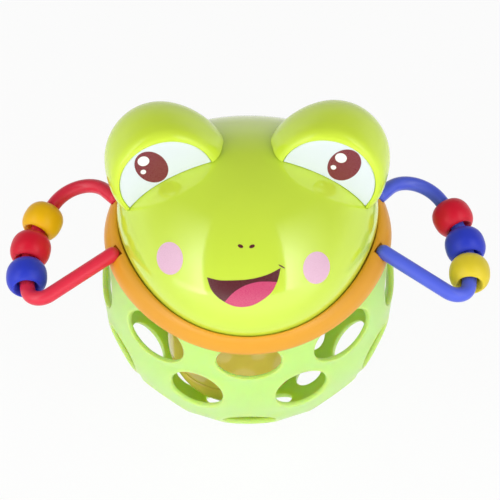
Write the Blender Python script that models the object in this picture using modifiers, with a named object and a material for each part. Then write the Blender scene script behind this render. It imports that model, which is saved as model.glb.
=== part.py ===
"""Frog rattle ball: a lattice ball with a loose rattle inside, a collar, a frog head and two bead loops.

Lengths in the list of sizes are millimetres and angles are degrees. The foot stands on z = 0 and the
face looks towards -Y. Azimuth 0 is the front, and it grows towards +X.
"""

import math

import bmesh
import bpy
from mathutils import Matrix, Vector

MM = 0.001

# Sizes that drive the model
BALL_RADIUS = 50.0
BALL_SQUASH = 0.955
BALL_WALL = 2.0
HOLE_COLUMNS = 9
FOOT_RADIUS = 12.0
HEAD_HEIGHT = 24.0
HEAD_WALL = 2.2
EYE_RADIUS = 14.9
EYE_SPACING = 49.2
HOOD_WALL = 2.0
HOOD_BULGE = 4.0
PLATE_THICKNESS = 1.8
LEDGE_THICKNESS = 2.0
BASE_THICKNESS = 2.2
RIB_HEIGHT = 2.8
RIB_WIDTH = 2.0
SKIRT_WIDTH = 1.6
WIRE_RADIUS = 2.35
LOOP_REACH = 26.0
LOOP_DROOP = 14.0
BEAD_RADIUS = 6.5
BEAD_LENGTH = 9.8
RATTLE_RADIUS = 24.0
RATTLE_WALL = 1.6
PELLET_RADIUS = 3.4
PELLET_COUNT = 4
SCREW_COUNT = 4
SCREW_RADIUS = 1.3
SCREW_LENGTH = 4.6

# Clearances
GAP = 0.3
BEAD_CLEARANCE = 0.6
SCREW_CLEARANCE = 0.25
RATTLE_CLEARANCE = 0.4

# Heights, counted from the centre of the ball until CENTRE_Z is added
CENTRE_Z = 0.975 * BALL_SQUASH * BALL_RADIUS
RIM_LOW_LATITUDE = 27.5
RIM_TOP_LATITUDE = 30.0
RIM_TOP = BALL_RADIUS * math.sin(math.radians(RIM_TOP_LATITUDE))
COLLAR_LOW = 0.452 * BALL_RADIUS
LEDGE_LOW = RIM_TOP + GAP
LEDGE_TOP = LEDGE_LOW + LEDGE_THICKNESS
COLLAR_TOP = 0.594 * BALL_RADIUS
SKIRT_LOW = LEDGE_TOP + GAP
HEAD_EQUATOR = 0.63 * BALL_RADIUS

# Outlines seen from above, as cosine series of the azimuth, in shares of the ball radius
HEAD_OUTLINE = (0.848, 0.000, 0.008, 0.038)
COLLAR_OUTLINE = (0.929, -0.007, -0.001, 0.014, 0.009)

LEDGE_INNER = 0.62 * BALL_RADIUS
RIM_OUTER = BALL_RADIUS * math.cos(math.radians(RIM_LOW_LATITUDE))

LATHE_STEPS = 48


def clear_scene():
    for thing in list(bpy.data.objects):
        bpy.data.objects.remove(thing)


def new_collection(name):
    made = bpy.data.collections.new(name)
    bpy.context.scene.collection.children.link(made)
    return made


def new_material(name, colour, roughness):
    made = bpy.data.materials.new(name)
    made.use_nodes = True
    shader = made.node_tree.nodes["Principled BSDF"]
    shader.inputs["Base Color"].default_value = (*colour, 1.0)
    shader.inputs["Roughness"].default_value = roughness
    return made


def outline(series, azimuth):
    """Radius in millimetres of an outline at an azimuth in radians."""
    return BALL_RADIUS * sum(share * math.cos(k * azimuth) for k, share in enumerate(series))


def azimuth_of(point):
    return math.atan2(point.x, -point.y)


def on_ball(azimuth, latitude, radius):
    """Point in millimetres, counted from the centre of the ball, for angles in degrees."""
    a = math.radians(azimuth)
    b = math.radians(latitude)
    return Vector((math.sin(a) * math.cos(b), -math.cos(a) * math.cos(b), math.sin(b))) * radius


def lathe(profile, steps=LATHE_STEPS, closed=True):
    """Mesh turned about Z from (radius, height) points in millimetres."""
    mesh = bmesh.new()
    points = [mesh.verts.new((r * MM, 0.0, z * MM)) for r, z in profile]
    ring = points + points[:1] if closed else points
    edges = [mesh.edges.new(pair) for pair in zip(ring, ring[1:])]
    bmesh.ops.spin(
        mesh,
        geom=points + edges,
        cent=(0.0, 0.0, 0.0),
        axis=(0.0, 0.0, 1.0),
        angle=2.0 * math.pi,
        steps=steps,
        use_merge=True,
    )
    bmesh.ops.remove_doubles(mesh, verts=mesh.verts, dist=1e-6)
    bmesh.ops.recalc_face_normals(mesh, faces=mesh.faces)
    return mesh


def reshape(mesh, moved):
    for vert in mesh.verts:
        vert.co = moved(vert.co)


def add_object(name, mesh, collection, material=None, at=(0.0, 0.0, 0.0), turned=None):
    """Object made from a bmesh, at a place in millimetres."""
    data = bpy.data.meshes.new(name)
    mesh.to_mesh(data)
    mesh.free()
    made = bpy.data.objects.new(name, data)
    turn = turned.to_4x4() if turned else Matrix.Identity(4)
    made.matrix_world = Matrix.Translation(Vector(at) * MM) @ turn
    collection.objects.link(made)
    if material:
        data.materials.append(material)
    return made


def add_cutter(name, mesh, at=(0.0, 0.0, 0.0), turned=None):
    made = add_object(name, mesh, CUTTERS, at=at, turned=turned)
    made.hide_render = True
    made.display_type = "WIRE"
    return made


def cut(target, cutter):
    modifier = target.modifiers.new("cut by " + cutter.name, "BOOLEAN")
    modifier.operation = "DIFFERENCE"
    modifier.solver = "EXACT"
    modifier.object = cutter


def rod(radius, length, steps=16):
    """Cylinder along +Z from the origin."""
    return lathe([(0.0, 0.0), (radius, 0.0), (radius, length), (0.0, length)], steps, closed=False)


def facing(direction):
    """Rotation that turns +Z to a direction."""
    return Vector((0.0, 0.0, 1.0)).rotation_difference(Vector(direction).normalized()).to_matrix()


# Lattice ball

CAGE_BULGE = 1.004
HOLE_BULGE = 1.16
HOLE_ROWS = (
    # latitude, half width and half height of the holes in degrees of arc, how much wider beside the chin,
    # and how far the row sinks at the sides
    (20.6, 12.3, 7.6, 0.14, 8.0),
    (2.8, 10.7, 10.4, 0.0, 16.0),
    (-22.5, 10.8, 10.8, 0.0, 18.0),
    (-56.0, 7.6, 6.2, 0.0, 4.0),
)
FLOOR_LATITUDE = -71.5
HOLE_CORNERS = (150.0, 90.0, 30.0, -30.0, -90.0, -150.0)


def sunk(azimuth, sag):
    """How far a row has sunk at an azimuth, for its sag at the sides."""
    return sag * math.sin(math.radians(azimuth)) ** 4


def cage_ring(mesh, heights, radius):
    """Ring of points whose latitudes and sags repeat round the ball."""
    step = 360.0 / (2 * HOLE_COLUMNS)
    ring = []
    for k in range(2 * HOLE_COLUMNS):
        latitude, sag = heights[k % len(heights)]
        place = on_ball(k * step, latitude - sunk(k * step, sag), radius)
        ring.append(mesh.verts.new(place * MM))
    return ring


def fill_band(mesh, upper, lower):
    count = len(upper)
    for k in range(count):
        n = (k + 1) % count
        mesh.faces.new((upper[k], lower[k], lower[n], upper[n]))


def fill_hole_row(mesh, upper, lower, row, shift, radius):
    """Web of one row: six quads from each honeycomb cell in to its round hole.

    The shift is 0 where a hole is in front and 1 where a web is.
    """
    latitude, wide, high, spread, sag = row
    count = 2 * HOLE_COLUMNS
    for column in range(HOLE_COLUMNS):
        middle = 2 * column + shift
        centre = middle * 360.0 / count
        left = (middle - 1) % count
        right = (middle + 1) % count
        middle %= count
        cell = (upper[left], upper[middle], upper[right], lower[right], lower[middle], lower[left])
        size = HOLE_BULGE * (1.0 + spread * abs(math.sin(math.radians(2.0 * centre))))
        level = latitude - sunk(centre, sag)
        loop = []
        for corner in HOLE_CORNERS:
            t = math.radians(corner)
            lat = level + size * high * math.sin(t)
            sideways = size * wide * math.cos(t) / math.cos(math.radians(level))
            loop.append(mesh.verts.new(on_ball(centre + sideways, lat, radius) * MM))
        for k in range(6):
            n = (k + 1) % 6
            mesh.faces.new((cell[n], cell[k], loop[k], loop[n]))


def squashed(co):
    """Lower half of the ball pressed a little flat."""
    return Vector((co.x, co.y, co.z * BALL_SQUASH if co.z < 0.0 else co.z))


def make_cage():
    mesh = bmesh.new()
    radius = BALL_RADIUS * CAGE_BULGE
    top = cage_ring(mesh, ((RIM_TOP_LATITUDE, 0.0),), radius)
    upper = cage_ring(mesh, ((RIM_LOW_LATITUDE, 0.0),), radius)
    fill_band(mesh, top, upper)
    levels = [(row[0], row[4]) for row in HOLE_ROWS] + [(FLOOR_LATITUDE, 0.0)]
    for k, row in enumerate(HOLE_ROWS):
        here, sag = levels[k]
        below, sag_below = levels[k + 1]
        mean_sag = 0.5 * (sag + sag_below)
        own = (here - (here - below) * 2.0 / 3.0, mean_sag)
        between = (here - (here - below) / 3.0, mean_sag)
        zigzag = (own, between) if k % 2 == 0 else (between, own)
        lower = cage_ring(mesh, zigzag, radius)
        fill_hole_row(mesh, upper, lower, row, k % 2, radius)
        upper = lower
    floor = cage_ring(mesh, ((FLOOR_LATITUDE, 0.0),), radius)
    fill_band(mesh, upper, floor)
    for share in (1.0, 0.72):
        foot = cage_ring(mesh, ((0.0, 0.0),), FOOT_RADIUS * share)
        for vert in foot:
            vert.co.z = -CENTRE_Z / BALL_SQUASH * MM
        fill_band(mesh, floor, foot)
        floor = foot
    mesh.faces.new(tuple(reversed(floor)))
    reshape(mesh, squashed)
    cage = add_object("cage_ball", mesh, PARTS, SOFT_GREEN, at=(0.0, 0.0, CENTRE_Z))
    wall = cage.modifiers.new("wall", "SOLIDIFY")
    wall.thickness = BALL_WALL * MM
    wall.offset = -1.0
    wall.edge_crease_inner = 0.35
    wall.edge_crease_outer = 0.35
    wall.edge_crease_rim = 0.0
    soft = cage.modifiers.new("soft edges", "SUBSURF")
    soft.levels = 1
    soft.render_levels = 1
    return cage


# Head, collar and base plate

def head_profile(grown):
    """Outer side of the head from the top down to the skirt, enlarged all round by a margin."""
    mean = HEAD_OUTLINE[0] * BALL_RADIUS
    points = []
    for k in range(10):
        t = math.radians(10.0 * k)
        points.append(((mean + grown) * math.sin(t), HEAD_EQUATOR + (HEAD_HEIGHT + grown) * math.cos(t)))
    return points


def shaped_as_head(co):
    """Turned shape pushed out or in to the outline of the head."""
    r = math.hypot(co.x, co.y)
    if r < 1e-9:
        return co
    grow = outline(HEAD_OUTLINE, azimuth_of(co)) / (HEAD_OUTLINE[0] * BALL_RADIUS)
    return Vector((co.x * grow, co.y * grow, co.z))


def make_head():
    mean = HEAD_OUTLINE[0] * BALL_RADIUS
    outer = head_profile(0.0)
    inner = head_profile(-HEAD_WALL)
    skirt = [(0.988 * mean, SKIRT_LOW), (0.988 * mean - HEAD_WALL, SKIRT_LOW)]
    mesh = lathe(outer + skirt + list(reversed(inner)), closed=False)
    reshape(mesh, shaped_as_head)
    return add_object("head_dome", mesh, PARTS, GLOSS_LIME, at=(0.0, 0.0, CENTRE_Z))


def make_head_cutter():
    """Solid head with a gap round it, for cutting what stands on the head."""
    profile = head_profile(GAP)
    mean = HEAD_OUTLINE[0] * BALL_RADIUS
    profile += [(mean + GAP, 0.0), (0.0, 0.0)]
    mesh = lathe(profile, closed=False)
    reshape(mesh, shaped_as_head)
    return add_cutter("head_cutter", mesh, at=(0.0, 0.0, CENTRE_Z))


def make_collar():
    head = HEAD_OUTLINE[0] * BALL_RADIUS + GAP
    edge = COLLAR_OUTLINE[0] * BALL_RADIUS
    groove = RIM_OUTER + GAP
    low = COLLAR_LOW
    high = COLLAR_TOP
    tall = high - low
    profile = [
        (LEDGE_INNER, LEDGE_LOW),
        (groove, LEDGE_LOW),
        (groove, low + 0.04 * tall),
        (groove + 0.3 * (edge - groove), low),
        (edge - 0.35 * (edge - groove), low),
        (edge - 0.1 * (edge - groove), low + 0.08 * tall),
        (edge, low + 0.2 * tall),
        (edge - 0.06 * (edge - head), low + 0.42 * tall),
        (edge - 0.22 * (edge - head), low + 0.65 * tall),
        (edge - 0.45 * (edge - head), low + 0.86 * tall),
        (edge - 0.7 * (edge - head), low + 0.97 * tall),
        (head + 0.12 * (edge - head), high),
        (head, high - 0.06 * tall),
        (head, LEDGE_TOP),
        (LEDGE_INNER, LEDGE_TOP),
    ]
    mesh = lathe(profile)

    def shaped(co):
        r = math.hypot(co.x, co.y) / MM
        azimuth = azimuth_of(co)
        to_head = outline(HEAD_OUTLINE, azimuth) + GAP
        to_edge = outline(COLLAR_OUTLINE, azimuth)
        above = co.z / MM > LEDGE_LOW + 0.5 * GAP
        start, start_to = (head, to_head) if above else (groove, groove)
        if r <= LEDGE_INNER + 1e-4:
            return co
        if r <= start:
            share = (r - LEDGE_INNER) / (start - LEDGE_INNER)
            new = LEDGE_INNER + share * (start_to - LEDGE_INNER)
        else:
            share = (r - start) / (edge - start)
            new = start_to + share * (to_edge - start_to)
        return Vector((co.x * new / r, co.y * new / r, co.z))

    reshape(mesh, shaped)
    return add_object("collar_ring", mesh, PARTS, MATT_ORANGE, at=(0.0, 0.0, CENTRE_Z))


PLATE_RADIUS = 0.735 * BALL_RADIUS
SCREW_CIRCLE = 0.5 * (LEDGE_INNER + PLATE_RADIUS)


def make_base_plate():
    low = LEDGE_TOP + GAP
    top = low + BASE_THICKNESS
    rib_inner = 0.55 * BALL_RADIUS - 0.5 * RIB_WIDTH
    rib_outer = rib_inner + RIB_WIDTH
    skirt_outer = LEDGE_INNER - GAP
    skirt_inner = skirt_outer - SKIRT_WIDTH
    chamfer = 0.25 * BASE_THICKNESS
    profile = [
        (0.0, top),
        (rib_inner, top),
        (rib_inner, top + RIB_HEIGHT),
        (rib_outer, top + RIB_HEIGHT),
        (rib_outer, top),
        (PLATE_RADIUS - chamfer, top),
        (PLATE_RADIUS, top - chamfer),
        (PLATE_RADIUS, low),
        (skirt_outer, low),
        (skirt_outer, LEDGE_LOW),
        (skirt_inner, LEDGE_LOW),
        (skirt_inner, low),
        (0.0, low),
    ]
    mesh = lathe(profile, 32, closed=False)
    return add_object("head_base_plate", mesh, PARTS, MATT_WHITE, at=(0.0, 0.0, CENTRE_Z))


def make_screws(ledge, plate):
    """Screws from below through the ledge into the plate, each in its own clearance hole."""
    under = LEDGE_LOW - GAP
    length = SCREW_LENGTH
    head = 1.9 * SCREW_RADIUS
    thick = 1.2 * SCREW_RADIUS
    profile = [
        (0.0, length),
        (0.55 * SCREW_RADIUS, length),
        (SCREW_RADIUS, length - 0.45 * SCREW_RADIUS),
        (SCREW_RADIUS, 0.0),
        (head, 0.0),
        (head, -0.6 * thick),
        (0.75 * head, -thick),
        (0.45 * head, -thick),
        (0.32 * head, -0.4 * thick),
        (0.0, -0.4 * thick),
    ]
    for k in range(SCREW_COUNT):
        azimuth = 45.0 + k * 360.0 / SCREW_COUNT
        spot = on_ball(azimuth, 0.0, SCREW_CIRCLE)
        place = (spot.x, spot.y, CENTRE_Z + under)
        screw = lathe(profile, 12, closed=False)
        add_object(f"plate_screw_{k + 1}", screw, PARTS, STEEL, at=place)
        hole = rod(SCREW_RADIUS + SCREW_CLEARANCE, 1.4 * length, 12)
        drill = add_cutter(f"screw_drill_{k + 1}", hole, at=(spot.x, spot.y, CENTRE_Z + under - 0.2 * length))
        cut(ledge, drill)
        cut(plate, drill)


# Eyes

EYE_FORWARD = 0.9
EYE_RISE = 1.004 * BALL_RADIUS
EYE_TURN = 12.0
EYE_TILT = 10.0


def eye_frame(side):
    """Place and turn of one eye: its own +Z looks out of the white face."""
    turn = math.radians(EYE_TURN)
    tilt = math.radians(EYE_TILT)
    look = Vector((-side * math.sin(turn) * math.cos(tilt), -math.cos(turn) * math.cos(tilt), math.sin(tilt)))
    place = (side * 0.5 * EYE_SPACING, -EYE_FORWARD, CENTRE_Z + EYE_RISE)
    return place, facing(look)


def make_eye(side, word, cutter):
    place, turn = eye_frame(side)
    r = EYE_RADIUS
    t = HOOD_WALL
    seat = PLATE_THICKNESS + 2.0 * GAP
    outer = [
        (1.02 * r, 0.0),
        (1.085 * r, -0.035 * r),
        (1.15 * r, -0.13 * r),
        (1.19 * r, -0.29 * r),
        (1.21 * r, -0.52 * r),
        (1.215 * r, -0.8 * r),
        (1.18 * r, -1.1 * r),
        (1.08 * r, -1.40 * r),
        (0.90 * r, -1.69 * r),
        (0.65 * r, -1.92 * r),
        (0.34 * r, -2.07 * r),
        (0.0, -2.12 * r),
    ]
    inner = [
        (0.0, -2.12 * r + t),
        (0.34 * r, -2.06 * r + t),
        (0.65 * r - 0.5 * t, -1.92 * r + 0.8 * t),
        (0.90 * r - 0.8 * t, -1.69 * r + 0.6 * t),
        (1.08 * r - t, -1.40 * r + 0.3 * t),
        (1.18 * r - t, -1.1 * r),
        (1.215 * r - t, -0.8 * r),
        (1.18 * r - t, -0.3 * r),
        (r, -seat),
        (r, -0.02 * r),
    ]

    def bulged(co):
        behind = min(1.0, max(0.0, -co.z / (0.6 * r * MM)))
        inward = max(0.0, -side * co.x) / (1.215 * r * MM)
        return Vector((co.x - side * HOOD_BULGE * MM * behind * inward**2, co.y, co.z))

    shell = lathe(outer + inner, 36)
    reshape(shell, bulged)
    hood = add_object(f"eye_hood_{word}", shell, PARTS, GLOSS_LIME, at=place, turned=turn)
    cut(hood, cutter)
    rim = r - GAP
    face = [
        (0.0, -GAP),
        (rim - 0.3, -GAP),
        (rim, -GAP - 0.3),
        (rim, -GAP - PLATE_THICKNESS),
        (0.0, -GAP - PLATE_THICKNESS),
    ]
    plate = add_object(f"eye_plate_{word}", lathe(face, 36, closed=False), PARTS, SATIN_WHITE, at=place, turned=turn)
    cut(plate, cutter)


# Bead loops: the wire is drawn in the loop's own plane, +X outwards and +Y to the front

ARC_RADIUS = 0.94 * BALL_RADIUS
ARC_FORWARD = 0.188 * BALL_RADIUS
ARC_REAR = -31.5
ARC_FRONT = 14.1
REAR_BEND = 0.22 * BALL_RADIUS
FRONT_BEND = 0.104 * BALL_RADIUS
REAR_HEADING = 130.0
FRONT_HEADING = 211.8
LOOP_ROOT = 0.92 * BALL_RADIUS
LOOP_RISE = 0.556 * BALL_RADIUS
REAR_DEPTH = -0.04 * BALL_RADIUS
FRONT_DEPTH = -0.06 * BALL_RADIUS
TIP_POINTS = ((1.0, 0.25), (0.87, 0.55), (0.5, 0.87))
BEAD_END_RADIUS = 0.66 * BEAD_RADIUS
BEAD_STEP = 2.0 * math.degrees(math.atan((0.5 * BEAD_LENGTH + GAP) / (ARC_RADIUS - BEAD_END_RADIUS)))
BEAD_FRONT = 7.0
BEAD_ANGLES = (
    ("rear", BEAD_FRONT - 2.0 * BEAD_STEP - 0.7),
    ("middle", BEAD_FRONT - BEAD_STEP),
    ("front", BEAD_FRONT),
)


def loop_frame(side):
    """Matrix in millimetres from the loop's plane to the toy. Mirrored sides share one drawing."""
    droop = math.radians(LOOP_DROOP)
    out = Vector((side * math.cos(droop), 0.0, -math.sin(droop)))
    front = Vector((0.0, -1.0, 0.0))
    up = out.cross(front)
    frame = Matrix((out, front, up)).transposed().to_4x4()
    frame.translation = Vector((side * LOOP_ROOT, 0.0, CENTRE_Z + LOOP_RISE))
    return frame


def along_arc(centre, radius, start, end, count):
    points = []
    for k in range(count + 1):
        t = math.radians(start + (end - start) * k / count)
        points.append(Vector((centre.x + radius * math.cos(t), centre.y + radius * math.sin(t), 0.0)))
    return points


def heading(angle):
    t = math.radians(angle)
    return Vector((math.cos(t), math.sin(t), 0.0))


def loop_path():
    """Points and thickness shares of the wire from the rear socket round to the front socket."""
    centre = Vector((LOOP_REACH - ARC_RADIUS, ARC_FORWARD, 0.0))
    arc = along_arc(centre, ARC_RADIUS, ARC_REAR, ARC_FRONT, 14)
    rear_centre = arc[0] - heading(ARC_REAR) * REAR_BEND
    rear = along_arc(rear_centre, REAR_BEND, REAR_HEADING - 270.0, ARC_REAR, 6)
    front_centre = arc[-1] - heading(ARC_FRONT) * FRONT_BEND
    front = along_arc(front_centre, FRONT_BEND, ARC_FRONT, FRONT_HEADING - 90.0, 6)
    rear_way = heading(REAR_HEADING)
    front_way = heading(FRONT_HEADING)
    rear_end = rear[0] + rear_way * ((REAR_DEPTH - rear[0].x) / rear_way.x)
    front_end = front[-1] + front_way * ((FRONT_DEPTH - front[-1].x) / front_way.x)
    path = [(rear_end + rear_way * along * WIRE_RADIUS, share) for along, share in TIP_POINTS]
    path += [(point, 1.0) for point in [rear_end] + rear[:-1] + arc + front[1:] + [front_end]]
    path += [(front_end + front_way * along * WIRE_RADIUS, share) for along, share in reversed(TIP_POINTS)]
    return path, centre, rear_way, front_way


def make_loop(side, word, collar, wire_material, bead_materials):
    frame = loop_frame(side)
    path, centre, rear_way, front_way = loop_path()
    curve = bpy.data.curves.new(f"bead_loop_{word}", "CURVE")
    curve.dimensions = "3D"
    curve.bevel_depth = WIRE_RADIUS * MM
    curve.bevel_resolution = 3
    curve.use_fill_caps = True
    spline = curve.splines.new("POLY")
    spline.points.add(len(path) - 1)
    for point, (place, share) in zip(spline.points, path):
        point.co = (*(frame @ place * MM), 1.0)
        point.radius = share
    curve.materials.append(wire_material)
    wire = bpy.data.objects.new(f"bead_loop_{word}", curve)
    PARTS.objects.link(wire)
    turn = frame.to_3x3()
    for end, way, where in ((path[0][0], rear_way, "rear"), (path[-1][0], front_way, "front")):
        deep = frame @ (end + way * GAP)
        socket = rod(WIRE_RADIUS + GAP, 5.0 * WIRE_RADIUS, 16)
        drill = add_cutter(f"loop_drill_{word}_{where}", socket, at=deep, turned=facing(turn @ -way))
        cut(collar, drill)
    half = 0.5 * BEAD_LENGTH
    bore = WIRE_RADIUS + BEAD_CLEARANCE
    profile = [
        (bore, half - 0.4),
        (bore + 0.4, half),
        (BEAD_END_RADIUS, half),
        (0.84 * BEAD_RADIUS, 0.82 * half),
        (0.96 * BEAD_RADIUS, 0.5 * half),
        (BEAD_RADIUS, 0.0),
        (0.96 * BEAD_RADIUS, -0.5 * half),
        (0.84 * BEAD_RADIUS, -0.82 * half),
        (BEAD_END_RADIUS, -half),
        (bore + 0.4, -half),
        (bore, -half + 0.4),
    ]
    pivot = frame @ centre
    for (where, angle), material in zip(BEAD_ANGLES, bead_materials):
        mesh = lathe(profile, 18)
        tip = Matrix.Rotation(math.radians(-90.0), 3, "X")
        bmesh.ops.rotate(mesh, verts=mesh.verts, cent=(0.0, 0.0, 0.0), matrix=tip)
        bmesh.ops.translate(mesh, verts=mesh.verts, vec=(ARC_RADIUS * MM, 0.0, 0.0))
        spun = turn @ Matrix.Rotation(math.radians(angle), 3, "Z")
        add_object(f"bead_{word}_{where}", mesh, PARTS, material, at=pivot, turned=spun)


# Rattle ball

RATTLE_SIDE = -4.2
RATTLE_FORWARD = 9.5


def rattle_centre():
    """Centre of the loose ball, resting on the inside of the lattice ball."""
    away = BALL_SQUASH * BALL_RADIUS - BALL_WALL - RATTLE_RADIUS - RATTLE_CLEARANCE
    drop = math.sqrt(away**2 - RATTLE_SIDE**2 - RATTLE_FORWARD**2)
    return Vector((RATTLE_SIDE, -RATTLE_FORWARD, CENTRE_Z - drop))


def make_rattle():
    centre = rattle_centre()
    inside = RATTLE_RADIUS - RATTLE_WALL
    seam = 0.5 * GAP
    outer = []
    inner = []
    for k in range(8):
        t = math.radians(90.0 - 90.0 * k / 7)
        outer.append((RATTLE_RADIUS * math.cos(t), seam + (RATTLE_RADIUS - seam) * math.sin(t)))
        inner.append((inside * math.cos(t), seam + (inside - seam) * math.sin(t)))
    profile = outer + list(reversed(inner))
    upper = lathe(profile, 28, closed=False)
    add_object("rattle_shell_upper", upper, PARTS, GLOSS_YELLOW, at=centre)
    lower = lathe([(r, -z) for r, z in profile], 28, closed=False)
    add_object("rattle_shell_lower", lower, PARTS, GLOSS_YELLOW, at=centre)
    reach = inside - PELLET_RADIUS - GAP
    room = (PELLET_RADIUS + GAP) / math.sin(math.pi / PELLET_COUNT)
    lean = math.degrees(math.asin(room / reach))
    for k in range(PELLET_COUNT):
        mesh = bmesh.new()
        bmesh.ops.create_uvsphere(mesh, u_segments=12, v_segments=8, radius=PELLET_RADIUS * MM)
        reshape(mesh, lambda co: co + on_ball(45.0 + k * 360.0 / PELLET_COUNT, lean - 90.0, reach) * MM)
        add_object(f"rattle_pellet_{k + 1}", mesh, PARTS, MATT_WHITE, at=centre)


clear_scene()
PARTS = new_collection("frog_rattle_ball")
CUTTERS = new_collection("cutters")
SOFT_GREEN = new_material("soft green elastomer", (0.55, 0.90, 0.30), 0.5)
GLOSS_LIME = new_material("gloss lime plastic", (0.50, 0.71, 0.05), 0.15)
MATT_ORANGE = new_material("matt orange plastic", (0.82, 0.35, 0.06), 0.5)
MATT_WHITE = new_material("plain white plastic", (0.80, 0.80, 0.78), 0.5)
SATIN_WHITE = new_material("satin white plastic", (0.83, 0.92, 0.88), 0.3)
GLOSS_YELLOW = new_material("gloss yellow plastic", (0.75, 0.60, 0.04), 0.15)
GOLD_YELLOW = new_material("golden yellow plastic", (0.88, 0.50, 0.02), 0.25)
RED = new_material("red plastic", (0.72, 0.02, 0.05), 0.25)
BLUE = new_material("blue plastic", (0.05, 0.06, 0.50), 0.25)
STEEL = new_material("zinc plated steel", (0.60, 0.60, 0.62), 0.35)

make_cage()
make_head()
HEAD_CUTTER = make_head_cutter()
COLLAR = make_collar()
PLATE = make_base_plate()
make_screws(COLLAR, PLATE)
make_eye(-1.0, "left", HEAD_CUTTER)
make_eye(1.0, "right", HEAD_CUTTER)
make_loop(-1.0, "left", COLLAR, RED, (GOLD_YELLOW, RED, BLUE))
make_loop(1.0, "right", COLLAR, BLUE, (RED, BLUE, GLOSS_YELLOW))
make_rattle()
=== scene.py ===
"""Frog rattle ball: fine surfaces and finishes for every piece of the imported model.

Lengths in the classes are millimetres and angles are degrees. The foot stands on z = 0, the face looks
towards -Y, and azimuth 0 is the front and grows towards +X. Heights of the head, the collar and the print
are counted from the centre of the lattice ball.
"""

from __future__ import annotations

import logging
import math
from collections.abc import Callable, Sequence
from dataclasses import dataclass
from enum import Enum

import bmesh
import bpy
from mathutils import Matrix, Vector


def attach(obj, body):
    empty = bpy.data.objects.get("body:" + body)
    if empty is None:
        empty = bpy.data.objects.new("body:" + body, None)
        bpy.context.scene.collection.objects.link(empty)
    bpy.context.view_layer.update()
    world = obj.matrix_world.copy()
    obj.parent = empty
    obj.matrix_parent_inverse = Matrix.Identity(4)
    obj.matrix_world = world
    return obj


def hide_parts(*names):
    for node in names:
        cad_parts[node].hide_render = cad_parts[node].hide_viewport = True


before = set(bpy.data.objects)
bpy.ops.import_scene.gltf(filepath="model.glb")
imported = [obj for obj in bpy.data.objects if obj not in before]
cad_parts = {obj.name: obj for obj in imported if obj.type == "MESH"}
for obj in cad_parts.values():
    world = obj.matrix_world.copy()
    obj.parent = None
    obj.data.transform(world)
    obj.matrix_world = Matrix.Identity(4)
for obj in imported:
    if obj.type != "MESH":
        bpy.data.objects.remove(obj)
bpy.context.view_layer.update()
LOG = logging.getLogger("frog_rattle_ball")
MM = 0.001
UP = Vector((0.0, 0.0, 1.0))

Pair = tuple[float, float]


class Side(Enum):
    """Side of the toy as the viewer sees it. The value is the sign of X."""

    LEFT = -1
    RIGHT = 1

    @property
    def word(self) -> str:
        """Word used in the names of pieces."""
        return self.name.lower()


class Seat(Enum):
    """Place of a bead on its loop, from the back of the toy to the front."""

    REAR = "rear"
    MIDDLE = "middle"
    FRONT = "front"


# Materials


def linear(code: str) -> tuple[float, float, float, float]:
    """Turns an sRGB hex colour into Blender's linear colour.

    Args:
        code: Colour such as "#A0B0C0".

    Returns:
        Red, green, blue and alpha.
    """
    parts = [int(code[k : k + 2], 16) / 255.0 for k in (1, 3, 5)]
    red, green, blue = (c / 12.92 if c <= 0.04045 else ((c + 0.055) / 1.055) ** 2.4 for c in parts)
    return red, green, blue, 1.0


def per_metre(size: float) -> float:
    """Scale of a noise pattern whose features measure a size in millimetres."""
    return 1.0 / (size * MM)


def add_node(
    tree: bpy.types.NodeTree,
    kind: str,
    settings: dict[str | int, object] | None = None,
    links: dict[str | int, bpy.types.NodeSocket] | None = None,
) -> bpy.types.Node:
    """Adds one node with its settings and links.

    Args:
        tree: Node tree that gets the node.
        kind: Blender's type name of the node.
        settings: Values by the name of a property, or by the name or number of an input.
        links: Outputs of other nodes by the name or number of the input that they feed.

    Returns:
        The new node.
    """
    node = tree.nodes.new(kind)
    for name, value in (settings or {}).items():
        if isinstance(name, str) and hasattr(node, name):
            setattr(node, name, value)
        else:
            node.inputs[name].default_value = value
    for name, source in (links or {}).items():
        tree.links.new(source, node.inputs[name])
    return node


@dataclass(frozen=True)
class Finish:
    """A finish, named for the real material and how its surface was made."""

    name: str

    def wire(self, tree: bpy.types.NodeTree) -> bpy.types.NodeSocket:
        """Adds the nodes of the finish to an empty tree and returns the shader's output."""
        raise NotImplementedError

    def material(self) -> bpy.types.Material:
        """Makes the material, or finds the one already made.

        Returns:
            The material.
        """
        made = bpy.data.materials.get(self.name)
        if made:
            return made
        made = bpy.data.materials.new(self.name)
        made.use_nodes = True
        tree = made.node_tree
        tree.nodes.clear()
        add_node(tree, "ShaderNodeOutputMaterial", links={"Surface": self.wire(tree)})
        return made


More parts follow.
